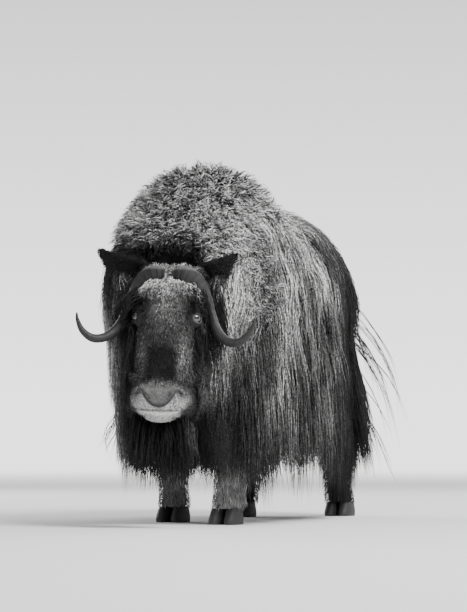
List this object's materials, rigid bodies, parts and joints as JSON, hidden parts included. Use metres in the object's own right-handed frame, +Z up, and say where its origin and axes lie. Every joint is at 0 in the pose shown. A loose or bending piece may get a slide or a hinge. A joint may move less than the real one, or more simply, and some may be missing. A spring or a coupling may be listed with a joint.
{
  "type": "muskox",
  "caption": "Life-size muskox cow standing with lowered head, curved horns and a long shaggy coat that hangs to the lower legs.",
  "frame": {"origin": "on the ground, under the middle of the animal's bounding box", "axes": "+Z up, the animal faces -Y with its body along Y, and its own left is +X"},
  "size_m": [0.7298, 1.8868, 1.2013],
  "materials": {
    "face": "short dark face fur with a paler muzzle",
    "ear": "dark haired ear leaf",
    "horn": "ribbed horn, smoother and glossier towards the tip",
    "eye": "wet dark eye",
    "mane": "curly frosted hair of the neck and hump",
    "coat": "long dark guard hair",
    "stocking": "short pale leg fur",
    "hoof": "dark matt hoof"
  },
  "bodies": {
    "root": {"head": "face", "ear_left": "ear", "ear_right": "ear", "horn_left": "horn", "horn_right": "horn", "eye_left": "eye", "eye_right": "eye", "neck": "mane", "shoulders": "mane", "barrel": "coat", "rump": "coat", "tail": "coat", "leg_front_left": "stocking", "leg_front_right": "stocking", "leg_hind_left": "stocking", "leg_hind_right": "stocking", "hoof_front_left": "hoof", "hoof_front_right": "hoof", "hoof_hind_left": "hoof", "hoof_hind_right": "hoof"}
  },
  "joints": []
}
